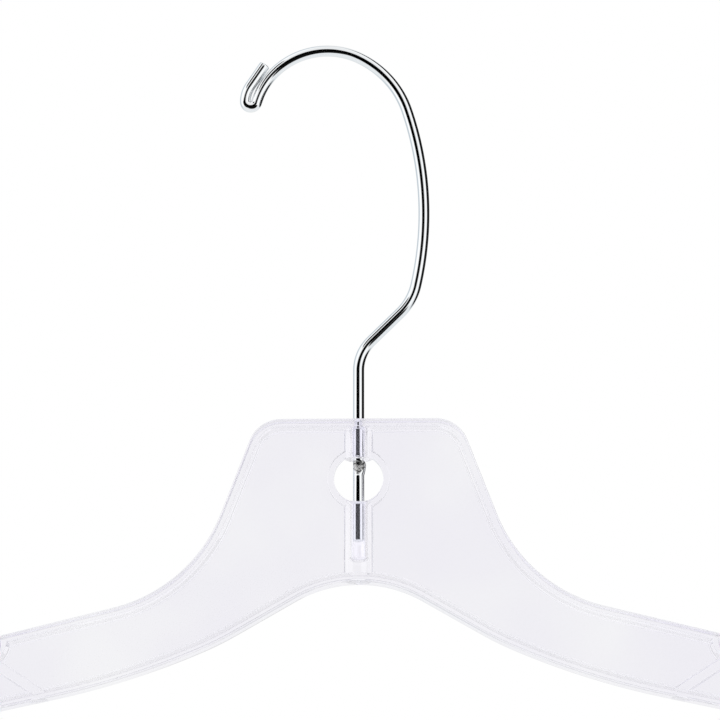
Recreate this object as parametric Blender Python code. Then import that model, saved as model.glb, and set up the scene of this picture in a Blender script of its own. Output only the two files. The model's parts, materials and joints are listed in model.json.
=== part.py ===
"""Clothes hanger: a clear moulded body that turns freely on a chromed wire hook.

Metres, +Z up. The object hangs in the XZ plane, its front towards -Y. The origin is the saddle, the point
inside the top of the hook where the rail bears. The stem of the hook stands STEM_X to the right of it, and
both pieces are modelled around that stem: their own origins lie on its axis, which is the swivel's.
"""

import math

import bmesh
import bpy
from mathutils import Vector

MM = 0.001

# Driving dimensions, in millimetres. Heights are measured from the saddle.
STEM_X = 9.8
WIRE_DIAMETER = 3.3
STEM_FOOT_Z = -152.8
WIRE_SIDES = 18

# The hook, bent from its foot upwards: straight lengths, and bends as (radius, turn in degrees, + is left).
STEM_LENGTH = 52.65
BENDS_AFTER_STEM = (
    ("bend", 12.9, -45.1),
    ("straight", 12.4),
    ("bend", 17.7, 32.5),
    ("bend", 106.0, 30.5),
    ("bend", 29.4, 44.0),
    ("bend", 22.3, 99.8),
    ("straight", 1.6),
    # The wire is folded back on itself, so that no sharp end catches a garment or a hand.
    ("bend", 1.71, -160.0),
    ("bend", 8.7, -34.8),
    ("straight", 8.2),
)

# Two ears pinched out of the stem keep the body from dropping off it.
EAR_TOP_Z = -128.05
EAR_WIDEST_Z = -129.3
EAR_FOOT_Z = -132.6
EAR_WIDTH = 4.4
EAR_THICKNESS = 2.3

# The body's outline: the corners of its right half as (x, z, radius), clockwise from the head.
HALF_OUTLINE = (
    (30.1, -115.85, 10.3),
    (49.6, -167.2, 44.8),
    (150.0, -192.05, 300.0),
    (217.5, -214.1, 11.0),
    (214.6, -230.6, 6.0),
    (150.0, -212.3, 300.0),
    (67.0, -194.35, 233.0),
    (40.9, -183.0, 95.0),
)
ARCH_CORNER = (0.0, -159.4, 37.6)
HEAD_TOP_Z = HALF_OUTLINE[0][1]

RIM_THICKNESS = 8.8
RIM_FACE = 2.4
RIM_FOOT = 3.2
WEB_THICKNESS = 2.0

WINDOW_Z = -133.6
WINDOW_RADIUS = 7.4
RING_RADIUS = 9.3
RING_THICKNESS = 3.0

BOSS_DIAMETER = 8.2
UPPER_BOSS_END_Z = -127.7
UPPER_BORE = 3.9
LOWER_BORE = 4.1
BORE_END_Z = -158.7
ARCH_TOP_Z = -165.2

# A strap notch in the top edge of each arm, and the two struts that brace it from below.
ARM_SLOPE = 13.9
NOTCH_X = 110.8
NOTCH_Z = -183.0
NOTCH_RADIUS = 4.5
STRUT_WIDTH = 3.0
STRUT_THICKNESS = 7.6
STRUT_TO_ARM = 47.0
INNER_STRUT_LENGTH = 22.5
OUTER_STRUT_LENGTH = 21.5
STRUT_ROOT = 4.0

CHORD_TOLERANCE = 0.03
WIDEST_STEP = math.radians(20.0)
ROUND_SIDES = 40
OVERSHOOT = 3.0


def clear_scene():
    for obj in list(bpy.data.objects):
        bpy.data.objects.remove(obj, do_unlink=True)


def principled(name, colour, roughness, metallic, transmission=0.0, ior=1.5):
    material = bpy.data.materials.new(name)
    material.use_nodes = True
    shader = material.node_tree.nodes["Principled BSDF"]
    shader.inputs["Base Color"].default_value = (*colour, 1.0)
    shader.inputs["Roughness"].default_value = roughness
    shader.inputs["Metallic"].default_value = metallic
    shader.inputs["Transmission Weight"].default_value = transmission
    shader.inputs["IOR"].default_value = ior
    return material


def new_object(name, mesh):
    """The object, with its origin on the stem's axis."""
    obj = bpy.data.objects.new(name, mesh)
    obj.location = (STEM_X * MM, 0.0, 0.0)
    bpy.context.scene.collection.objects.link(obj)
    return obj


def as_helper(obj):
    obj.hide_render = True
    obj.display_type = "WIRE"
    return obj


def finish_mesh(name, bm):
    bmesh.ops.recalc_face_normals(bm, faces=bm.faces[:])
    mesh = bpy.data.meshes.new(name)
    bm.to_mesh(mesh)
    bm.free()
    return mesh


def steps_for(radius, turn):
    """How many straight pieces an arc takes, turn in radians."""
    by_chord = 2.0 * math.acos(max(0.0, 1.0 - CHORD_TOLERANCE / radius))
    return max(2, math.ceil(abs(turn) / min(by_chord, WIDEST_STEP)))


# ---- outlines in the XZ plane ----


def corner_arc(before, corner, after, inset):
    """The arc of a rounded corner, on the outline moved inwards by inset. The outline runs clockwise."""
    here = Vector(corner[:2])
    into = (here - Vector(before[:2])).normalized()
    out = (Vector(after[:2]) - here).normalized()
    turn = math.atan2(into.x * out.y - into.y * out.x, into.dot(out))
    side = 1.0 if turn > 0 else -1.0
    tangent = corner[2] * math.tan(abs(turn) / 2)
    centre = here - into * tangent + Vector((-into.y, into.x)) * side * corner[2]
    radius = corner[2] + side * inset
    start = math.atan2(-side * into.x, side * into.y)
    steps = steps_for(corner[2], turn)
    return [
        (
            centre.x + radius * math.cos(start + turn * step / steps),
            centre.y + radius * math.sin(start + turn * step / steps),
        )
        for step in range(steps + 1)
    ]


def body_outline(inset=0.0):
    left = [(-x, z, radius) for x, z, radius in reversed(HALF_OUTLINE)]
    corners = list(HALF_OUTLINE) + [ARCH_CORNER] + left
    points = []
    for index, corner in enumerate(corners):
        after = corners[(index + 1) % len(corners)]
        points += corner_arc(corners[index - 1], corner, after, inset)
    return points


def circle(x, z, radius):
    angles = [2 * math.pi * side / ROUND_SIDES for side in range(ROUND_SIDES)]
    return [(x + radius * math.cos(a), z + radius * math.sin(a)) for a in angles]


def slot(x, z, radius, lean, length):
    """A slot with a round lower end about (x, z), which runs out upwards, leaning by lean degrees."""
    up = Vector((math.sin(math.radians(lean)), math.cos(math.radians(lean))))
    across = Vector((up.y, -up.x))
    centre = Vector((x, z))
    half = ROUND_SIDES // 2
    points = []
    for step in range(half + 1):
        angle = math.pi * step / half
        points.append(centre + radius * (across * math.cos(angle) - up * math.sin(angle)))
    points.append(centre - across * radius + up * length)
    points.append(centre + across * radius + up * length)
    return [tuple(point) for point in points]


def bar(start, heading, length, width):
    """A straight bar from start, its heading in degrees."""
    along = Vector((math.cos(math.radians(heading)), math.sin(math.radians(heading))))
    aside = Vector((-along.y, along.x)) * width / 2
    near = Vector(start)
    far = near + along * length
    return [tuple(point) for point in (near - aside, far - aside, far + aside, near + aside)]


# ---- solids ----


def add_prism(bm, layers):
    """One closed solid through outlines of equally many points, given as (y, points)."""
    rings = [
        [bm.verts.new((x * MM, y * MM, z * MM)) for x, z in points] for y, points in layers
    ]
    count = len(rings[0])
    for lower, upper in zip(rings, rings[1:]):
        for index in range(count):
            following = (index + 1) % count
            bm.faces.new((lower[index], lower[following], upper[following], upper[index]))
    bm.faces.new(rings[0])
    bm.faces.new(rings[-1])


def prism(name, thickness, *outlines):
    """A helper solid of that thickness, centred on the body's mid plane, with one prism for each outline."""
    bm = bmesh.new()
    for points in outlines:
        add_prism(bm, [(-thickness / 2, points), (thickness / 2, points)])
    return as_helper(new_object(name, finish_mesh(name, bm)))


def upright(name, diameter, bottom_z, top_z):
    """A helper cylinder round the stem's axis."""
    bm = bmesh.new()
    bmesh.ops.create_cone(
        bm,
        cap_ends=True,
        segments=ROUND_SIDES,
        radius1=diameter / 2 * MM,
        radius2=diameter / 2 * MM,
        depth=(top_z - bottom_z) * MM,
    )
    bmesh.ops.translate(bm, verts=bm.verts[:], vec=(0.0, 0.0, (top_z + bottom_z) / 2 * MM))
    return as_helper(new_object(name, finish_mesh(name, bm)))


def boolean(obj, operation, *tools):
    for tool in tools:
        modifier = obj.modifiers.new(f"{operation.lower()}_{tool.name}", "BOOLEAN")
        modifier.operation = operation
        modifier.object = tool


# ---- the body ----


def pockets():
    """What the mould leaves out on either side of the web. Its walls lean, so that the part comes free."""
    bm = bmesh.new()
    face_y = RIM_THICKNESS / 2
    lean = (RIM_FOOT - RIM_FACE) / (face_y - WEB_THICKNESS / 2)
    for side in (-1.0, 1.0):
        layers = [
            (side * WEB_THICKNESS / 2, body_outline(RIM_FOOT)),
            (side * (face_y + OVERSHOOT), body_outline(RIM_FACE - lean * OVERSHOOT)),
        ]
        add_prism(bm, layers)
    pocket = as_helper(new_object("pocket_tool", finish_mesh("pocket_tool", bm)))
    boolean(pocket, "DIFFERENCE", notch_slots("notch_lip_tool", NOTCH_RADIUS + RIM_FOOT))
    return pocket


def notch_slots(name, radius):
    reach = 4 * NOTCH_RADIUS
    outlines = [
        slot(side * NOTCH_X, NOTCH_Z, radius, side * ARM_SLOPE, reach) for side in (-1.0, 1.0)
    ]
    return prism(name, RIM_THICKNESS + 4 * OVERSHOOT, *outlines)


def struts():
    """Under each notch, two struts that part from its lip and stand on the lower rim."""
    tools = []
    for side, name in ((-1.0, "left"), (1.0, "right")):
        for part, length, away in (
            ("inner", INNER_STRUT_LENGTH, 180.0 + STRUT_TO_ARM - ARM_SLOPE),
            ("outer", OUTER_STRUT_LENGTH, -STRUT_TO_ARM - ARM_SLOPE),
        ):
            heading = away if side > 0 else 180.0 - away
            start = (side * NOTCH_X, NOTCH_Z - STRUT_ROOT)
            outline = bar(start, heading, length, STRUT_WIDTH)
            tools.append(prism(f"{name}_{part}_strut_tool", STRUT_THICKNESS, outline))
    return tools


def make_body(material):
    bm = bmesh.new()
    outline = body_outline()
    add_prism(bm, [(-RIM_THICKNESS / 2, outline), (RIM_THICKNESS / 2, outline)])
    body = new_object("hanger_body", finish_mesh("hanger_body", bm))
    body.data.materials.append(material)
    ring = prism("ring_tool", RING_THICKNESS, circle(0.0, WINDOW_Z, RING_RADIUS))
    upper_boss = upright("upper_boss_tool", BOSS_DIAMETER, UPPER_BOSS_END_Z, HEAD_TOP_Z - RIM_FACE / 2)
    lower_boss = upright("lower_boss_tool", BOSS_DIAMETER, ARCH_TOP_Z + RIM_FACE / 2, WINDOW_Z)
    boolean(body, "DIFFERENCE", pockets())
    boolean(body, "UNION", *struts(), ring, lower_boss)
    window = prism("window_tool", RIM_THICKNESS + OVERSHOOT, circle(0.0, WINDOW_Z, WINDOW_RADIUS))
    upper_bore = upright("upper_bore_tool", UPPER_BORE, WINDOW_Z, HEAD_TOP_Z + OVERSHOOT)
    lower_bore = upright("lower_bore_tool", LOWER_BORE, BORE_END_Z, WINDOW_Z)
    notches = notch_slots("notch_tool", NOTCH_RADIUS)
    boolean(body, "DIFFERENCE", window)
    # The upper boss ends in a flat face for the ears to bear on, just inside the window.
    boolean(body, "UNION", upper_boss)
    boolean(body, "DIFFERENCE", upper_bore, lower_bore, notches)
    return body


# ---- the hook ----


def stem_sections():
    """Heights up the straight stem, each with how far the wire is pinched there, from 0 to 1."""
    return (
        (STEM_FOOT_Z, 0.0),
        (EAR_FOOT_Z, 0.0),
        ((EAR_FOOT_Z + 2 * EAR_WIDEST_Z) / 3, 0.75),
        (EAR_WIDEST_Z, 1.0),
        ((EAR_WIDEST_Z + EAR_TOP_Z) / 2, 0.85),
        (EAR_TOP_Z, 0.0),
    )


def wire_route():
    """Points (x, z), headings and pinches along the wire's centre line, from the foot to the folded tip."""
    route = [(0.0, z, math.pi / 2, pinch) for z, pinch in stem_sections()]
    x, z, heading = 0.0, STEM_FOOT_Z + STEM_LENGTH, math.pi / 2
    route.append((x, z, heading, 0.0))
    for step in BENDS_AFTER_STEM:
        if step[0] == "straight":
            x += step[1] * math.cos(heading)
            z += step[1] * math.sin(heading)
            route.append((x, z, heading, 0.0))
            continue
        radius, turn = step[1], math.radians(step[2])
        side = 1.0 if turn > 0 else -1.0
        centre_x = x - side * radius * math.sin(heading)
        centre_z = z + side * radius * math.cos(heading)
        count = steps_for(radius, turn)
        for _ in range(count):
            heading += turn / count
            x = centre_x + side * radius * math.sin(heading)
            z = centre_z - side * radius * math.cos(heading)
            route.append((x, z, heading, 0.0))
    return route


def make_hook(material):
    radius = WIRE_DIAMETER / 2
    bm = bmesh.new()
    rings = []
    for x, z, heading, pinch in wire_route():
        across = radius + pinch * (EAR_WIDTH / 2 - radius)
        depth = radius + pinch * (EAR_THICKNESS / 2 - radius)
        ring = []
        for side in range(WIRE_SIDES):
            angle = 2 * math.pi * side / WIRE_SIDES
            out = across * math.cos(angle)
            point = (x - out * math.sin(heading), depth * math.sin(angle), z + out * math.cos(heading))
            ring.append(bm.verts.new(Vector(point) * MM))
        rings.append(ring)
    for lower, upper in zip(rings, rings[1:]):
        for side in range(WIRE_SIDES):
            following = (side + 1) % WIRE_SIDES
            bm.faces.new((lower[side], lower[following], upper[following], upper[side]))
    bm.faces.new(rings[0])
    bm.faces.new(rings[-1])
    mesh = finish_mesh("wire_hook", bm)
    mesh.shade_smooth()
    mesh.set_sharp_from_angle(angle=math.radians(40.0))
    hook = new_object("wire_hook", mesh)
    hook.data.materials.append(material)
    return hook


def main():
    clear_scene()
    clear_plastic = principled("clear_plastic", (0.90, 0.89, 0.93), 0.08, 0.0, transmission=0.9, ior=1.58)
    bright_chrome = principled("bright_chrome", (0.80, 0.82, 0.84), 0.08, 1.0)
    make_body(clear_plastic)
    make_hook(bright_chrome)


main()
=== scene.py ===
"""Looks for the clothes hanger: a clear moulded body with a ribbed rim, on a chromed wire hook.

Lengths in the shape code are millimetres in the CAD frame: the origin is the saddle inside the top of the
hook, +Z is up and the front faces -Y. Both pieces stand round the stem, the vertical line at x = STEM_X.
"""

import json
import math
from functools import partial

import bmesh
import bpy
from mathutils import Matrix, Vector


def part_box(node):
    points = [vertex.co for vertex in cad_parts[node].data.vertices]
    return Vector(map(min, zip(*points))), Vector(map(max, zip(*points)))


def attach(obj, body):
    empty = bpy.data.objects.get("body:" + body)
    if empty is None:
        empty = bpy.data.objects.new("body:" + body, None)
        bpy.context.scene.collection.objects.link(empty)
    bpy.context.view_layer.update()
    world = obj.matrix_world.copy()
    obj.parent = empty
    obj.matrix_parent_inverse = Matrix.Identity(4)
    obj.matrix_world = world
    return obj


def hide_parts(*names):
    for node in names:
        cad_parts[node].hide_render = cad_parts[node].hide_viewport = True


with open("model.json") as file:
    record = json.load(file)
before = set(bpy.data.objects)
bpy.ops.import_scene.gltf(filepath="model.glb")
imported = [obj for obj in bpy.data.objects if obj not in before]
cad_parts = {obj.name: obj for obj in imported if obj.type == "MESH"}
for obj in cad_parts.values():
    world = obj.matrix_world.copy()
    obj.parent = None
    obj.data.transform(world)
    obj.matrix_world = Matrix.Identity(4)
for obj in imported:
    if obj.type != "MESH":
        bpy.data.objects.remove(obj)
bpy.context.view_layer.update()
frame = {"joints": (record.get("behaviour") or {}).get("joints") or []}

MM = 0.001

# ---- what the frame gives ----

BODY_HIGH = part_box("hanger_body")[1] / MM
HOOK_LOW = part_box("wire_hook")[0] / MM
STEM_X = frame["joints"][0]["pos_m"][0] / MM
HEAD_TOP_Z = BODY_HIGH.z
HALF_THICKNESS = BODY_HIGH.y
STEM_FOOT_Z = HOOK_LOW.z

# ---- the body ----

SIDES = ((-1.0, "left"), (1.0, "right"))

# The corners of the outline's right half as (x from the stem, z, radius), clockwise from the head.
HALF_OUTLINE = (
    (30.1, HEAD_TOP_Z, 10.3),
    (49.6, -167.2, 44.8),
    (150.0, -192.05, 300.0),
    (217.5, -214.1, 11.0),
    (214.6, -230.6, 6.0),
    (150.0, -212.3, 300.0),
    (67.0, -194.35, 233.0),
    (40.9, -183.0, 95.0),
)
ARCH_CORNER = (0.0, -159.4, 37.6)
ARCH_TOP_Z = -165.2

# The rim: a flat band, and inside it a wall that leans down to the web.
HALF_WEB = 1.0
RIM_FACE = 2.4
RIM_FOOT = 3.2
OUTER_EDGE_RADIUS = 0.55
INNER_EDGE_RADIUS = 0.3
FOOT_RADIUS = 0.45
PARTING_RIDGE = 0.05
PARTING_RIDGE_HALF_HEIGHT = 0.12
SIDE_DRAFT = 0.06

WINDOW_Z = -133.6
WINDOW_RADIUS = 7.4
RING_RADIUS = 9.35
HALF_RING = 1.6
RING_EDGE_RADIUS = 0.25
WINDOW_CUT_DRAFT = 0.02
WINDOW_CUT_CLEARANCE = 1.0

BOSS_RADIUS = 4.1
BOSS_DRAFT = 0.05
BOSS_END_ROUNDING = 0.2
BOSS_END_BULGE = 0.06
BOSS_FOOT_RADIUS = 0.8
BOSS_FOOT_HALF_WIDTH = 4.5
BOSS_FOOT_OVERLAP = 1.0
BOSS_FOOT_END_ANGLE = 350.0
UPPER_BOSS_END_Z = -127.7
LOWER_BOSS_TOP_Z = WINDOW_Z - 3.0
UPPER_BORE_RADIUS = 1.95
LOWER_BORE_RADIUS = 2.05
BORE_END_Z = -158.7
BORE_LEAD_IN = 0.5
BORE_OVERRUN = 0.3
UPPER_BORE_OVERRUN = 0.5
LOWER_BORE_OVERRUN = 2.0
# The lower bore's dished bottom as (radius, height above BORE_END_Z), and the flare of its mouth.
LOWER_BORE_BOTTOM = ((0.5, -0.6), (1.3, -0.35), (LOWER_BORE_RADIUS - 0.15, 0.4), (LOWER_BORE_RADIUS, 1.2))
LOWER_BORE_FLARE = 0.7
LOWER_BORE_FLARE_DEPTH = 0.8

ARM_SLOPE = 13.9
NOTCH_X = 110.8
NOTCH_Z = -183.0
NOTCH_RADIUS = 4.5
NOTCH_REACH = 18.0
NOTCH_EDGE_RADIUS = 0.5
NOTCH_CUT_FLARE = 3.0
NOTCH_CUT_CLEARANCE = 0.4
LIP_ROOT_WIDTH = 1.0
LIP_ROOT_DEPTH = 0.3

STRUT_WIDTH = 3.0
HALF_STRUT = 3.8
STRUT_TO_ARM = 47.0
INNER_STRUT_LENGTH = 20.9
OUTER_STRUT_LENGTH = 19.9
STRUT_ROOT = 4.0
STRUT_EDGE = 0.3
STRUT_DRAFT = 0.25

FINE_CHORD = 0.004
FINE_STEP = math.radians(4.0)
ROUND_SIDES = 96
FILLET_STEPS = 5
WELD_DISTANCE = 0.002
BODY_SHARP_ANGLE = 35.0

# ---- the hook ----

WIRE_RADIUS = 1.69
STEM_LENGTH = 52.65
BENDS_AFTER_STEM = (
    ("bend", 12.9, -45.1),
    ("straight", 12.4),
    ("bend", 17.7, 32.5),
    ("bend", 106.0, 30.5),
    ("bend", 29.4, 44.0),
    ("bend", 22.3, 99.8),
    ("straight", 1.6),
    ("bend", 1.71, -160.0),
    ("bend", 8.7, -34.8),
    ("straight", 8.2),
)
EAR_TOP_Z = -128.05
EAR_WIDEST_Z = -129.3
EAR_FOOT_Z = -132.6
EAR_HALF_WIDTH = 1.92
EAR_SHIFT = 0.28
EAR_HALF_THICKNESS = 1.15
EAR_STEPS = 14
EAR_RUN_IN = 0.5
WIRE_SIDES = 48
BEND_STEP = 0.5
STRAIGHT_STEP = 1.0
STEM_STEP = 2.0
WIRE_END_CHAMFER = 0.3
WIRE_END_SHARES = (1.0, 0.7, 0.35, 0.0)
HOOK_SHARP_ANGLE = 50.0


# ---- outlines in the XZ plane ----


def steps_for(radius, turn):
    """How many straight pieces a fine arc takes, turn in radians."""
    by_chord = 2.0 * math.acos(max(0.0, 1.0 - FINE_CHORD / radius))
    return max(3, math.ceil(abs(turn) / min(by_chord, FINE_STEP)))


def corner_arc(before, corner, after, inset):
    """The arc of a rounded corner, on the outline moved inwards by inset. The outline runs clockwise."""
    here = Vector(corner[:2])
    into = (here - Vector(before[:2])).normalized()
    out = (Vector(after[:2]) - here).normalized()
    turn = math.atan2(into.x * out.y - into.y * out.x, into.dot(out))
    side = 1.0 if turn > 0 else -1.0
    tangent = corner[2] * math.tan(abs(turn) / 2)
    centre = here - into * tangent + Vector((-into.y, into.x)) * side * corner[2]
    radius = corner[2] + side * inset
    start = math.atan2(-side * into.x, side * into.y)
    steps = steps_for(corner[2], turn)
    return [
        (
            centre.x + radius * math.cos(start + turn * step / steps),
            centre.y + radius * math.sin(start + turn * step / steps),
        )
        for step in range(steps + 1)
    ]


def body_outline(inset):
    """The whole outline, moved inwards by inset."""
    left = [(-x, z, radius) for x, z, radius in reversed(HALF_OUTLINE)]
    corners = list(HALF_OUTLINE) + [ARCH_CORNER] + left
    points = []
    for index, corner in enumerate(corners):
        after = corners[(index + 1) % len(corners)]
        points += corner_arc(corners[index - 1], corner, after, inset)
    return points


def slot(x, z, radius, lean, length):
    """A slot with a round lower end about (x, z), which runs out upwards, leaning by lean degrees."""
    up = Vector((math.sin(math.radians(lean)), math.cos(math.radians(lean))))
    across = Vector((up.y, -up.x))
    centre = Vector((x, z))
    half = ROUND_SIDES // 2
    points = []
    for step in range(half + 1):
        angle = math.pi * step / half
        points.append(centre + radius * (across * math.cos(angle) - up * math.sin(angle)))
    points.append(centre - across * radius + up * length)
    points.append(centre + across * radius + up * length)
    return [tuple(point) for point in points]


def notch_outline(side, grow):
    """A strap notch's slot, made larger by grow."""
    return slot(side * NOTCH_X, NOTCH_Z, NOTCH_RADIUS + grow, side * ARM_SLOPE, NOTCH_REACH)


def bar(start, heading, length, width):
    """A straight bar from start, its heading in degrees."""
    along = Vector((math.cos(math.radians(heading)), math.sin(math.radians(heading))))
    aside = Vector((-along.y, along.x)) * width / 2
    near = Vector(start)
    far = near + along * length
    return [tuple(point) for point in (near - aside, far - aside, far + aside, near + aside)]


# ---- cross sections: points (distance inwards, height from the mid plane) ----


def fillet(centre_in, centre_up, radius, start, end):
    """A quarter or so of a circle, angles in degrees from inwards towards up."""
    angles = [math.radians(start + (end - start) * k / FILLET_STEPS) for k in range(FILLET_STEPS + 1)]
    return [(centre_in + radius * math.cos(a), centre_up + radius * math.sin(a)) for a in angles]


def wall_angle():
    """How steeply the rim's inner wall stands, in degrees from the web."""
    return math.degrees(math.atan2(HALF_THICKNESS - HALF_WEB, RIM_FOOT - RIM_FACE))


def outer_section():
    """From the parting line out over the rim's outer edge to its flat."""
    radius = OUTER_EDGE_RADIUS
    side = [
        (0.0, 0.0),
        (PARTING_RIDGE, PARTING_RIDGE_HALF_HEIGHT),
        (PARTING_RIDGE + SIDE_DRAFT, HALF_THICKNESS - radius),
    ]
    edge = fillet(PARTING_RIDGE + SIDE_DRAFT + radius, HALF_THICKNESS - radius, radius, 180.0, 90.0)
    return side + edge[1:]


def inner_section():
    """From the rim's flat down its inner wall to the web."""
    lean = wall_angle()
    tangent = math.tan(math.radians(lean / 2))
    top = fillet(
        RIM_FACE - INNER_EDGE_RADIUS * tangent,
        HALF_THICKNESS - INNER_EDGE_RADIUS,
        INNER_EDGE_RADIUS,
        90.0,
        90.0 - lean,
    )
    foot = fillet(
        RIM_FOOT + FOOT_RADIUS * tangent, HALF_WEB + FOOT_RADIUS, FOOT_RADIUS, 270.0 - lean, 270.0
    )
    return top + foot


# ---- meshes ----


def add_rings(bm, rings):
    """Joins rings of equally many points, given in mm, into one closed skin."""
    made = [[bm.verts.new(Vector(point) * MM) for point in ring] for ring in rings]
    count = len(made[0])
    for lower, upper in zip(made, made[1:]):
        for index in range(count):
            following = (index + 1) % count
            bm.faces.new((lower[index], lower[following], upper[following], upper[index]))
    bm.faces.new(made[0])
    bm.faces.new(made[-1])


def flat_ring(points, y):
    return [(x + STEM_X, y, z) for x, z in points]


def to_object(name, bm):
    bmesh.ops.recalc_face_normals(bm, faces=bm.faces[:])
    mesh = bpy.data.meshes.new(name)
    bm.to_mesh(mesh)
    bm.free()
    obj = bpy.data.objects.new(name, mesh)
    bpy.context.scene.collection.objects.link(obj)
    return obj


def stack(name, outline_at, section):
    """A solid alike in front and behind: section gives (inset, height) from the mid plane outwards."""
    bm = bmesh.new()
    back = [flat_ring(outline_at(inset), height) for inset, height in section]
    front = [flat_ring(outline_at(inset), -height) for inset, height in reversed(section) if height > 0]
    add_rings(bm, front + back)
    return to_object(name, bm)


def turned(name, profile, z=None):
    """A solid of revolution from (radius, height) points, about the stem or about the window's axis at z."""
    bm = bmesh.new()
    rings = []
    for radius, height in profile:
        ring = []
        for side in range(ROUND_SIDES):
            angle = 2 * math.pi * (side + 0.5) / ROUND_SIDES
            across, up = radius * math.cos(angle), radius * math.sin(angle)
            if z is None:
                ring.append((STEM_X + across, up, height))
            else:
                ring.append((STEM_X + across, height, z + up))
        rings.append(ring)
    add_rings(bm, rings)
    return to_object(name, bm)


def apply_booleans(obj, steps):
    """Runs (operation, tools) in turn, keeps the result as the object's mesh and removes the tools."""
    used = []
    for operation, tools in steps:
        for tool in tools:
            modifier = obj.modifiers.new(tool.name, "BOOLEAN")
            modifier.operation = operation
            modifier.object = tool
            modifier.solver = "MANIFOLD"
            used.append(tool)
    bpy.context.view_layer.update()
    evaluated = obj.evaluated_get(bpy.context.evaluated_depsgraph_get())
    mesh = bpy.data.meshes.new_from_object(evaluated)
    obj.modifiers.clear()
    obj.data = mesh
    for tool in used:
        bpy.data.objects.remove(tool)
    return obj


def rim_with_pockets():
    """The outline's solid with its rim, walls and web, all from one run of the cross section."""
    section = outer_section() + inner_section()
    return stack("hanger_body_clear", body_outline, section)


def notch_lips():
    """The rim carried round each notch: a slot's solid with the rim's inner wall, inside the outline."""
    section = [(RIM_FOOT + LIP_ROOT_WIDTH, HALF_WEB - LIP_ROOT_DEPTH)] + inner_section()[::-1]
    lips = []
    for side, name in SIDES:
        lip = stack(f"{name}_lip", partial(notch_outline, side), section)
        envelope = stack(f"{name}_envelope", body_outline, outer_section())
        lips.append(apply_booleans(lip, [("INTERSECT", [envelope])]))
    return lips


def notch_cutters():
    """The notches themselves, with rounded edges where they meet the rim's flats."""
    radius = NOTCH_EDGE_RADIUS
    rounding = fillet(radius, HALF_THICKNESS - radius, radius, 180.0, 90.0)
    section = [(0.0, 0.0)] + rounding + [(NOTCH_CUT_FLARE, HALF_THICKNESS + NOTCH_CUT_CLEARANCE)]
    return [stack(f"{name}_notch", partial(notch_outline, side), section) for side, name in SIDES]


def struts():
    """Under each notch, two struts that part from its lip and stand on the lower rim."""
    section = [(-STRUT_DRAFT, 0.0), (0.0, HALF_STRUT - STRUT_EDGE)]
    section += fillet(STRUT_EDGE, HALF_STRUT - STRUT_EDGE, STRUT_EDGE, 180.0, 90.0)[1:]
    made = []
    for side, name in SIDES:
        for part, length, away in (
            ("inner", INNER_STRUT_LENGTH, 180.0 + STRUT_TO_ARM - ARM_SLOPE),
            ("outer", OUTER_STRUT_LENGTH, -STRUT_TO_ARM - ARM_SLOPE),
        ):
            heading = away if side > 0 else 180.0 - away
            start = (side * NOTCH_X, NOTCH_Z - STRUT_ROOT)

            def outline_at(inset, start=start, heading=heading, length=length):
                return bar(start, heading, length, STRUT_WIDTH - 2 * inset)

            made.append(stack(f"{name}_{part}_strut", outline_at, section))
    return made


def window_ring():
    """The low band round the window."""
    radius = RING_EDGE_RADIUS
    edge = fillet(RING_RADIUS - radius, HALF_RING - radius, radius, 0.0, 90.0)
    profile = [(r, -h) for r, h in reversed(edge)] + edge
    return turned("window_ring", profile, WINDOW_Z)


def window_cutter():
    """The window, with its edges rounded."""
    radius = RING_EDGE_RADIUS
    lip = fillet(WINDOW_RADIUS + radius, HALF_RING - radius, radius, 180.0, 90.0)
    lip.append((WINDOW_RADIUS + radius + WINDOW_CUT_DRAFT, HALF_THICKNESS + WINDOW_CUT_CLEARANCE))
    profile = [(r, -h) for r, h in reversed(lip)] + lip
    return turned("window_cut", profile, WINDOW_Z)


def bosses():
    """The two round bosses for the wire, above and below the window."""
    rim_middle = RIM_FACE / 2
    upper = turned(
        "upper_boss",
        (
            (BOSS_RADIUS - BOSS_END_ROUNDING, UPPER_BOSS_END_Z),
            (BOSS_RADIUS - BOSS_END_BULGE, UPPER_BOSS_END_Z + BOSS_END_BULGE),
            (BOSS_RADIUS, UPPER_BOSS_END_Z + BOSS_END_ROUNDING),
            (BOSS_RADIUS, HEAD_TOP_Z - rim_middle),
        ),
    )
    lower = turned(
        "lower_boss",
        ((BOSS_RADIUS, ARCH_TOP_Z + rim_middle), (BOSS_RADIUS - BOSS_DRAFT, LOWER_BOSS_TOP_Z)),
    )
    return upper, lower


def boss_feet():
    """The hollow curves in which the bosses run out on to the web."""
    hollow = fillet(0.0, HALF_WEB + BOSS_FOOT_RADIUS, BOSS_FOOT_RADIUS, 270.0, BOSS_FOOT_END_ANGLE)
    section = [(0.0, 0.0)] + hollow
    feet = []
    for name, low, high in (
        ("upper_foot", WINDOW_Z + RING_RADIUS - BOSS_FOOT_OVERLAP, HEAD_TOP_Z - RIM_FACE / 2),
        ("lower_foot", ARCH_TOP_Z + RIM_FACE / 2, WINDOW_Z - RING_RADIUS + BOSS_FOOT_OVERLAP),
    ):

        def outline_at(inset, low=low, high=high):
            return bar((0.0, low), 90.0, high - low, 2 * (BOSS_FOOT_HALF_WIDTH - inset))

        feet.append(stack(name, outline_at, section))
    return feet


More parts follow.
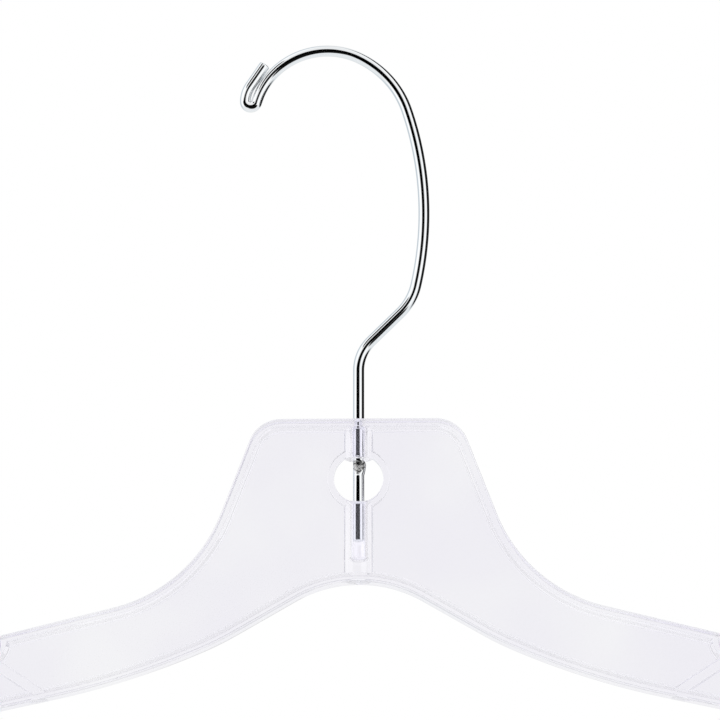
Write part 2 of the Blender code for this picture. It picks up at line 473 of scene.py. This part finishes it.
def bores():
    """The through bore of the upper boss, and the blind one of the lower boss."""
    upper = turned(
        "upper_bore",
        (
            (UPPER_BORE_RADIUS, UPPER_BOSS_END_Z - UPPER_BORE_OVERRUN),
            (UPPER_BORE_RADIUS, HEAD_TOP_Z - BORE_LEAD_IN),
            (UPPER_BORE_RADIUS + BORE_LEAD_IN + BORE_OVERRUN, HEAD_TOP_Z + BORE_OVERRUN),
        ),
    )
    mouth_z = WINDOW_Z - WINDOW_RADIUS
    flared = LOWER_BORE_RADIUS + LOWER_BORE_FLARE
    bottom = [(radius, BORE_END_Z + height) for radius, height in LOWER_BORE_BOTTOM]
    mouth = [
        (LOWER_BORE_RADIUS, mouth_z - LOWER_BORE_FLARE_DEPTH),
        (flared, mouth_z + BORE_OVERRUN),
        (flared, mouth_z + LOWER_BORE_OVERRUN),
    ]
    return upper, turned("lower_bore", bottom + mouth)


def make_body():
    """Welds the solids together in an order that keeps the window and the bores open."""
    body = rim_with_pockets()
    upper_boss, lower_boss = bosses()
    upper_bore, lower_bore = bores()
    steps = [
        ("UNION", notch_lips() + struts()),
        ("DIFFERENCE", notch_cutters()),
        ("UNION", boss_feet() + [window_ring(), lower_boss]),
        ("DIFFERENCE", [window_cutter()]),
        ("UNION", [upper_boss]),
        ("DIFFERENCE", [upper_bore, lower_bore]),
    ]
    apply_booleans(body, steps)
    tidy_shading(body, BODY_SHARP_ANGLE)
    return body


def tidy_shading(obj, angle):
    """Welds what the Booleans left doubled, and lets the large flats keep their own normals."""
    bm = bmesh.new()
    bm.from_mesh(obj.data)
    bmesh.ops.remove_doubles(bm, verts=bm.verts[:], dist=WELD_DISTANCE * MM)
    bmesh.ops.dissolve_degenerate(bm, edges=bm.edges[:], dist=WELD_DISTANCE * MM)
    bm.to_mesh(obj.data)
    bm.free()
    obj.data.shade_smooth()
    obj.data.set_sharp_from_angle(angle=math.radians(angle))
    weighted = obj.modifiers.new("flats_keep_their_normals", "WEIGHTED_NORMAL")
    weighted.keep_sharp = True
    weighted.weight = 100


# ---- the hook's mesh ----


def stem_sections():
    """Heights up the straight stem, each with how far the wire is pinched there, from 0 to 1."""
    sections = [(STEM_FOOT_Z, 0.0), (EAR_FOOT_Z - EAR_RUN_IN, 0.0)]
    for step in range(EAR_STEPS + 1):
        z = EAR_FOOT_Z + (EAR_TOP_Z - EAR_FOOT_Z) * step / EAR_STEPS
        if z < EAR_WIDEST_Z:
            share = (z - EAR_FOOT_Z) / (EAR_WIDEST_Z - EAR_FOOT_Z)
        else:
            share = (EAR_TOP_Z - z) / (EAR_TOP_Z - EAR_WIDEST_Z)
        sections.append((z, math.sin(share * math.pi / 2)))
    return sections


def wire_route():
    """(x, z, heading, pinch) along the wire's centre line, from the foot to the folded tip."""
    route = [(STEM_X, z, math.pi / 2, pinch) for z, pinch in stem_sections()]
    x, z, heading = STEM_X, STEM_FOOT_Z + STEM_LENGTH, math.pi / 2
    z_now = route[-1][1]
    straight = max(2, round((z - z_now) / STEM_STEP))
    for step in range(1, straight + 1):
        route.append((x, z_now + (z - z_now) * step / straight, heading, 0.0))
    for bend in BENDS_AFTER_STEM:
        if bend[0] == "straight":
            count = max(1, round(bend[1] / STRAIGHT_STEP))
            for _ in range(count):
                x += bend[1] / count * math.cos(heading)
                z += bend[1] / count * math.sin(heading)
                route.append((x, z, heading, 0.0))
            continue
        radius, turn = bend[1], math.radians(bend[2])
        side = 1.0 if turn > 0 else -1.0
        centre_x = x - side * radius * math.sin(heading)
        centre_z = z + side * radius * math.cos(heading)
        count = max(steps_for(radius, turn), round(abs(turn) * radius / BEND_STEP))
        for _ in range(count):
            heading += turn / count
            x = centre_x + side * radius * math.sin(heading)
            z = centre_z - side * radius * math.cos(heading)
            route.append((x, z, heading, 0.0))
    return route


def wire_ring(x, z, heading, across, depth):
    """The wire's section at one place: across in the XZ plane, depth along Y."""
    ring = []
    for side in range(WIRE_SIDES):
        angle = 2 * math.pi * side / WIRE_SIDES
        out = across * math.cos(angle)
        ring.append((x - out * math.sin(heading), depth * math.sin(angle), z + out * math.cos(heading)))
    return ring


def sheared_end(station, direction):
    """Rings that round a cut end: direction is +1 at the wire's last station, -1 at its first."""
    x, z, heading, _ = station
    rings = []
    for share in WIRE_END_SHARES:
        back = WIRE_END_CHAMFER * share * share
        radius = WIRE_RADIUS - WIRE_END_CHAMFER * (1 - share) ** 2
        step = -direction * back
        rings.append(
            wire_ring(x + step * math.cos(heading), z + step * math.sin(heading), heading, radius, radius)
        )
    return rings


def make_hook():
    route = wire_route()
    rings = []
    for x, z, heading, pinch in route[1:-1]:
        across = WIRE_RADIUS + pinch * (EAR_HALF_WIDTH - WIRE_RADIUS)
        depth = WIRE_RADIUS + pinch * (EAR_HALF_THICKNESS - WIRE_RADIUS)
        rings.append(wire_ring(x + pinch * EAR_SHIFT, z, heading, across, depth))
    foot = list(reversed(sheared_end(route[0], -1.0)))
    tip = sheared_end(route[-1], 1.0)
    bm = bmesh.new()
    add_rings(bm, foot + rings + tip)
    hook = to_object("wire_hook_chrome", bm)
    hook.data.shade_smooth()
    hook.data.set_sharp_from_angle(angle=math.radians(HOOK_SHARP_ANGLE))
    return hook


# ---- materials ----

WHITE = (1.0, 1.0, 1.0)
NOISE_ROUGHNESS = 0.5

# Colours and greys of ramps are given as (position, colour) stops over a noise that runs from 0 to 1.
# The plastic's own lilac tint. The lighter stops are painted sheen: patches that stand in for light
# reflected off the plastic.
PLASTIC_TINT_AND_PAINTED_SHEEN = (
    (0.36, (0.917, 0.905, 0.960)),
    (0.48, (0.926, 0.917, 0.963)),
    (0.64, (0.958, 0.955, 0.981)),
)
PLASTIC_ROUGHNESS = ((0.35, 0.005), (0.75, 0.02))
# The size of the patches of lilac tint and painted sheen.
PLASTIC_TINT_AND_SHEEN_SCALE = 22.0
PLASTIC_SKIN_SCALE = 60.0
PLASTIC_FLOW_SCALE = 45.0
PLASTIC_FLOW_HEIGHT = 0.00006
PLASTIC_IOR = 1.55

CHROME_COLOURS = ((0.3, (0.83, 0.86, 0.88)), (0.7, (0.90, 0.91, 0.92)))
CHROME_ROUGHNESS = ((0.3, 0.02), (0.7, 0.06))
CHROME_SMEAR_SCALE = 40.0
CHROME_MARKS_SCALE = 700.0
CHROME_MARKS_HEIGHT = 0.000004
PINCH_GREYS = ((0.38, 0.06), (0.62, 0.80))
PINCH_SCARS_SCALE = 1300.0
PINCH_ROUGHNESS = 0.38
# The pinched drop, in shares of the ear's half width: how wide it is at its foot, and how much wider at its
# top.
PINCH_FOOT_WIDTH = 0.1
PINCH_WIDENING = 1.9
PINCH_EDGE = ((0.0, 0.0), (0.15, 1.0))
PINCH_ENDS = ((0.0, 0.0), (0.05, 1.0), (0.90, 1.0), (1.0, 0.0))

FLOOR_GREYS = ((0.3, 0.86), (0.7, 0.89))
FLOOR_GRAIN_SCALE = 3.0
FLOOR_ROUGHNESS = 0.9


def new_material(name):
    """A new node material, as (material, nodes, links, its shader)."""
    material = bpy.data.materials.new(name)
    material.use_nodes = True
    nodes, links = material.node_tree.nodes, material.node_tree.links
    return material, nodes, links, nodes["Principled BSDF"]


def noise(nodes, links, vector, scale, detail):
    node = nodes.new("ShaderNodeTexNoise")
    node.inputs["Scale"].default_value = scale
    node.inputs["Detail"].default_value = detail
    node.inputs["Roughness"].default_value = NOISE_ROUGHNESS
    links.new(vector, node.inputs["Vector"])
    return node.outputs["Fac"]


def ramp(nodes, links, value, *stops):
    """A colour ramp with (position, grey or colour) stops."""
    node = nodes.new("ShaderNodeValToRGB")
    elements = node.color_ramp.elements
    while len(elements) < len(stops):
        elements.new(0.5)
    for element, (position, colour) in zip(elements, stops):
        element.position = position
        element.color = (*colour, 1.0) if isinstance(colour, tuple) else (colour,) * 3 + (1.0,)
    links.new(value, node.inputs["Fac"])
    return node.outputs["Color"]


def math_node(nodes, links, operation, *values):
    node = nodes.new("ShaderNodeMath")
    node.operation = operation
    for socket, value in zip(node.inputs, values):
        if isinstance(value, (int, float)):
            socket.default_value = value
        else:
            links.new(value, socket)
    return node.outputs["Value"]


def mix_colours(nodes, links, factor, first, second):
    node = nodes.new("ShaderNodeMix")
    node.data_type = "RGBA"
    for name, value in (("Factor", factor), ("A", first), ("B", second)):
        if isinstance(value, tuple):
            node.inputs[name].default_value = (*value, 1.0)
        elif isinstance(value, (int, float)):
            node.inputs[name].default_value = value
        else:
            links.new(value, node.inputs[name])
    return node.outputs["Result"]


def bump(nodes, links, height, distance):
    node = nodes.new("ShaderNodeBump")
    node.inputs["Distance"].default_value = distance
    node.inputs["Strength"].default_value = 1.0
    links.new(height, node.inputs["Height"])
    return node.outputs["Normal"]


def clear_plastic():
    """Clear plastic: its own faint lilac cast, made lighter in slow random patches of painted sheen that
    stand in for light reflected off it, and a skin that isn't quite flat.
    """
    material, nodes, links, shader = new_material("clear_moulded_plastic")
    place = nodes.new("ShaderNodeTexCoord").outputs["Object"]
    tint_and_sheen_noise = noise(nodes, links, place, PLASTIC_TINT_AND_SHEEN_SCALE, 2.0)
    # Base colour: the lilac tint, with painted sheen in its lighter patches.
    links.new(ramp(nodes, links, tint_and_sheen_noise, *PLASTIC_TINT_AND_PAINTED_SHEEN), shader.inputs["Base Color"])
    skin = noise(nodes, links, place, PLASTIC_SKIN_SCALE, 4.0)
    links.new(ramp(nodes, links, skin, *PLASTIC_ROUGHNESS), shader.inputs["Roughness"])
    flow = noise(nodes, links, place, PLASTIC_FLOW_SCALE, 1.0)
    links.new(bump(nodes, links, flow, PLASTIC_FLOW_HEIGHT), shader.inputs["Normal"])
    shader.inputs["Metallic"].default_value = 0.0
    shader.inputs["IOR"].default_value = PLASTIC_IOR
    shader.inputs["Transmission Weight"].default_value = 1.0
    return material


def chrome():
    """Bright plating over drawn wire: a mirror with faint marks, and dull grey where it was pinched."""
    material, nodes, links, shader = new_material("bright_chrome_plating")
    place = nodes.new("ShaderNodeTexCoord").outputs["Object"]
    smear = noise(nodes, links, place, CHROME_SMEAR_SCALE, 2.0)
    scars = noise(nodes, links, place, PINCH_SCARS_SCALE, 2.0)
    pinched = pinch_mask(nodes, links, place)
    plated = ramp(nodes, links, smear, *CHROME_COLOURS)
    scarred = ramp(nodes, links, scars, *PINCH_GREYS)
    links.new(mix_colours(nodes, links, pinched, plated, scarred), shader.inputs["Base Color"])
    rough = nodes.new("ShaderNodeMix")
    rough.data_type = "FLOAT"
    links.new(pinched, rough.inputs["Factor"])
    links.new(ramp(nodes, links, smear, *CHROME_ROUGHNESS), rough.inputs["A"])
    rough.inputs["B"].default_value = PINCH_ROUGHNESS
    links.new(rough.outputs["Result"], shader.inputs["Roughness"])
    marks = noise(nodes, links, place, CHROME_MARKS_SCALE, 3.0)
    links.new(bump(nodes, links, marks, CHROME_MARKS_HEIGHT), shader.inputs["Normal"])
    shader.inputs["Metallic"].default_value = 1.0
    return material


def pinch_mask(nodes, links, place):
    """1 in the dull drop that the pinching tool left, which narrows downwards, and 0 elsewhere."""
    axes = nodes.new("ShaderNodeSeparateXYZ")
    links.new(place, axes.inputs["Vector"])
    rise = nodes.new("ShaderNodeMapRange")
    rise.inputs["From Min"].default_value = EAR_FOOT_Z * MM
    rise.inputs["From Max"].default_value = EAR_TOP_Z * MM
    links.new(axes.outputs["Z"], rise.inputs["Value"])
    aside = math_node(nodes, links, "SUBTRACT", axes.outputs["X"], STEM_X * MM)
    aside = math_node(nodes, links, "ABSOLUTE", aside)
    narrow = math_node(nodes, links, "MULTIPLY", aside, 1.0 / (EAR_HALF_WIDTH * MM))
    height = rise.outputs["Result"]
    flank = math_node(nodes, links, "MULTIPLY_ADD", height, PINCH_WIDENING, PINCH_FOOT_WIDTH)
    drop = math_node(nodes, links, "SUBTRACT", flank, narrow)
    between_ends = ramp(nodes, links, height, *PINCH_ENDS)
    return math_node(nodes, links, "MULTIPLY", ramp(nodes, links, drop, *PINCH_EDGE), between_ends)


def floor_paint():
    """Pale matt paint with a faint, broad grain."""
    material, nodes, links, shader = new_material("pale_floor")
    place = nodes.new("ShaderNodeTexCoord").outputs["Object"]
    grain = noise(nodes, links, place, FLOOR_GRAIN_SCALE, 3.0)
    links.new(ramp(nodes, links, grain, *FLOOR_GREYS), shader.inputs["Base Color"])
    shader.inputs["Roughness"].default_value = FLOOR_ROUGHNESS
    return material


# ---- studio ----

FLOOR_Z = -0.44
FLOOR_HALF_SIZE = 14.0
CAMERA_PLACE = (31.77, -875.9, -324.5)
CAMERA_PITCH = 12.5
CAMERA_YAW = 1.41
LENS = 150.0
LENS_SHIFT = 0.15
SENSOR_WIDTH = 36.0
CLIP = (0.01, 50.0)

LAMP_SIZE = (1.2, 0.9)
LAMP_POWER = 6.0
LAMP_PLACE = (-0.9, -0.9, 1.1)
LAMP_TARGET = (0.0, 0.0, -0.15)

# How often a ray may be bent or mirrored. With fewer, paths inside the plastic end in black specks.
MOST_BOUNCES = 64
MOST_TRANSMISSIONS = 24

# What stands out in the studio that the chrome mirrors: (centre, half size, lean, brightness). A centre is
# (azimuth from the front, positive to the right; elevation), and all angles are in degrees.
STUDIO_PATCHES = (
    ((-13.0, -8.0), (40.0, 31.0), 0.0, 0.0),
    ((16.0, -34.0), (43.0, 24.0), 0.0, 0.005),
    ((108.0, 31.0), (44.0, 50.0), 28.0, 0.01),
    ((-37.0, 42.0), (17.0, 9.0), -25.0, 0.0),
)
PATCH_POWER = 2.5
# The ramp reads 0 to 1, so a patch's edge, where its reach is 1, lies at half of that.
PATCH_REACH_SCALE = 0.5
PATCH_EDGE = ((0.40, 0.0), (0.60, 1.0))

# What is round the studio between the patches, as (azimuth from the front, grey or colour).
STUDIO_WALLS = (
    (-180.0, 0.85),
    (-150.0, (0.66, 0.72, 0.76)),
    (-105.0, (0.60, 0.66, 0.71)),
    (-92.0, 1.1),
    (-45.0, 1.15),
    (-15.0, 0.95),
    (20.0, 0.95),
    (45.0, 1.15),
    (70.0, 1.0),
    (120.0, (0.74, 0.79, 0.82)),
    (180.0, 0.85),
)
STUDIO_LOW_COLOUR = (0.90, 0.92, 0.93)
STUDIO_LOW_FADE = ((0.25, 1.0), (0.38, 0.0))

# What clear plastic lets through: plain white from behind, and a studio mixed with white from the sides.
BEHIND_FADE = ((0.35, 0.0), (0.70, 1.0))
PLASTIC_SEES_WHITE = 0.62
# A ray that has met more surfaces than this has wandered about inside, and sees one even grey.
WANDERED_DEPTH = 6.5
WANDERED_COLOUR = (0.76, 0.76, 0.79)
# A ray through a bore crosses four surfaces. The wire in it mirrors the ray once or twice.
BORE_DEPTH = 3.5
WIRE_MIRRORS = (1.5, 0.6)
BORE_GIVE_BACK = 0.14


def make_floor():
    """A wide, pale floor well below the hanger."""
    bm = bmesh.new()
    bmesh.ops.create_grid(bm, x_segments=1, y_segments=1, size=FLOOR_HALF_SIZE)
    floor = to_object("floor", bm)
    floor.location = (0.0, 0.0, FLOOR_Z)
    floor.data.materials.append(floor_paint())
    # The chrome mirrors the dark studio below the camera instead of the floor.
    floor.visible_glossy = False


def compass(degrees):
    """Where an azimuth falls on a ramp that runs from behind over the left, the front and the right."""
    return degrees / 360.0 + 0.5


def outside_patch(nodes, links, azimuth, elevation, centre, half_size, lean):
    """0 within a rounded patch of the sky and 1 outside it. Angles in degrees; lean turns the patch."""
    beside = math_node(nodes, links, "SUBTRACT", azimuth, centre[0])
    above = math_node(nodes, links, "SUBTRACT", elevation, centre[1])
    cosine, sine = math.cos(math.radians(lean)), math.sin(math.radians(lean))
    reach = None
    for half, along_azimuth, along_elevation in (
        (half_size[0], cosine, sine),
        (half_size[1], -sine, cosine),
    ):
        part = math_node(nodes, links, "MULTIPLY", beside, along_azimuth / half)
        part = math_node(nodes, links, "MULTIPLY_ADD", above, along_elevation / half, part)
        part = math_node(nodes, links, "POWER", math_node(nodes, links, "ABSOLUTE", part), PATCH_POWER)
        reach = part if reach is None else math_node(nodes, links, "ADD", reach, part)
    reach = math_node(nodes, links, "MULTIPLY", reach, PATCH_REACH_SCALE)
    return ramp(nodes, links, reach, *PATCH_EDGE)


def studio_seen_in_chrome(nodes, links, x, y, z):
    """Soft boxes left and right, a white ceiling and floor, and the dark openings between them."""
    front = math_node(nodes, links, "MULTIPLY", y, -1.0)
    azimuth = math_node(nodes, links, "ARCTAN2", x, front)
    azimuth = math_node(nodes, links, "MULTIPLY", azimuth, 180.0 / math.pi)
    elevation = math_node(nodes, links, "ARCSINE", z)
    elevation = math_node(nodes, links, "MULTIPLY", elevation, 180.0 / math.pi)
    around = math_node(nodes, links, "MULTIPLY_ADD", azimuth, 1.0 / 360.0, 0.5)
    walls = ramp(nodes, links, around, *[(compass(turn), colour) for turn, colour in STUDIO_WALLS])
    height = math_node(nodes, links, "MULTIPLY_ADD", z, 0.5, 0.5)
    low = ramp(nodes, links, height, *STUDIO_LOW_FADE)
    studio = mix_colours(nodes, links, low, walls, STUDIO_LOW_COLOUR)
    for centre, half_size, lean, brightness in STUDIO_PATCHES:
        outside = outside_patch(nodes, links, azimuth, elevation, centre, half_size, lean)
        studio = mix_colours(nodes, links, outside, (brightness, brightness, brightness), studio)
    return studio


def through_a_bore(nodes, links, rays):
    """1 for rays that have crossed a bore and the plastic on both of its sides."""
    return math_node(nodes, links, "GREATER_THAN", rays.outputs["Transmission Depth"], BORE_DEPTH)


def seen_through_plastic(nodes, links, rays, y, studio):
    """White behind, a milder studio to the sides, and the full one for the wire's mirror inside a bore."""
    towards_back = math_node(nodes, links, "MULTIPLY_ADD", y, 0.5, 0.5)
    behind = ramp(nodes, links, towards_back, *BEHIND_FADE)
    milder = mix_colours(nodes, links, PLASTIC_SEES_WHITE, studio, WHITE)
    around = mix_colours(nodes, links, behind, milder, WHITE)
    wandered = math_node(nodes, links, "GREATER_THAN", rays.outputs["Ray Depth"], WANDERED_DEPTH)
    around = mix_colours(nodes, links, wandered, around, WANDERED_COLOUR)
    bore = through_a_bore(nodes, links, rays)
    mirrors = math_node(nodes, links, "COMPARE", rays.outputs["Glossy Depth"], *WIRE_MIRRORS)
    from_the_wire = math_node(nodes, links, "MULTIPLY", bore, mirrors)
    return mix_colours(nodes, links, from_the_wire, around, studio)


def make_world():
    """White for the camera and dull surfaces. Chrome and clear plastic each see a studio of their own."""
    world = bpy.data.worlds.new("studio")
    bpy.context.scene.world = world
    world.use_nodes = True
    nodes, links = world.node_tree.nodes, world.node_tree.links
    background = nodes["Background"]
    direction = nodes.new("ShaderNodeSeparateXYZ")
    links.new(nodes.new("ShaderNodeTexCoord").outputs["Generated"], direction.inputs["Vector"])
    x, y, z = direction.outputs["X"], direction.outputs["Y"], direction.outputs["Z"]
    studio = studio_seen_in_chrome(nodes, links, x, y, z)
    rays = nodes.new("ShaderNodeLightPath")
    mirrored = mix_colours(nodes, links, rays.outputs["Is Glossy Ray"], WHITE, studio)
    # A ray that was bent by the plastic counts as glossy too, so this choice comes last.
    through = seen_through_plastic(nodes, links, rays, y, studio)
    seen = mix_colours(nodes, links, rays.outputs["Is Transmission Ray"], mirrored, through)
    links.new(seen, background.inputs["Color"])
    # The resin's tint works at each surface. This gives back what the two extra surfaces of a bore take.
    bore = through_a_bore(nodes, links, rays)
    strength = math_node(nodes, links, "MULTIPLY_ADD", bore, BORE_GIVE_BACK, 1.0)
    links.new(strength, background.inputs["Strength"])


def make_lamp():
    """One soft lamp, up and to the left, for the floor. Mirrored and bent rays don't see it."""
    data = bpy.data.lights.new("soft_key", "AREA")
    data.shape = "RECTANGLE"
    data.size, data.size_y = LAMP_SIZE
    data.energy = LAMP_POWER
    lamp = bpy.data.objects.new("soft_key", data)
    lamp.location = LAMP_PLACE
    lamp.rotation_euler = (Vector(LAMP_TARGET) - lamp.location).to_track_quat("-Z", "Y").to_euler()
    lamp.visible_glossy = False
    lamp.visible_transmission = False
    bpy.context.scene.collection.objects.link(lamp)


def make_camera():
    """Looks up at the hanger from the front and below, with a raised lens."""
    data = bpy.data.cameras.new("camera")
    data.lens = LENS
    data.sensor_width = SENSOR_WIDTH
    data.shift_y = LENS_SHIFT
    data.clip_start, data.clip_end = CLIP
    camera = bpy.data.objects.new("camera", data)
    camera.location = [value * MM for value in CAMERA_PLACE]
    camera.rotation_euler = (math.radians(90.0 + CAMERA_PITCH), 0.0, math.radians(CAMERA_YAW))
    bpy.context.scene.collection.objects.link(camera)
    bpy.context.scene.camera = camera


def set_view_and_bounces():
    scene = bpy.context.scene
    scene.view_settings.view_transform = "Standard"
    scene.cycles.max_bounces = MOST_BOUNCES
    scene.cycles.transmission_bounces = MOST_TRANSMISSIONS
    scene.cycles.glossy_bounces = MOST_BOUNCES


def main():
    make_camera()
    make_world()
    make_lamp()
    make_floor()
    set_view_and_bounces()

    body = make_body()
    body.data.materials.clear()
    body.data.materials.append(clear_plastic())
    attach(body, "body")
    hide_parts("hanger_body")

    hook = make_hook()
    hook.data.materials.append(chrome())
    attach(hook, "hook")
    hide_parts("wire_hook")


main()
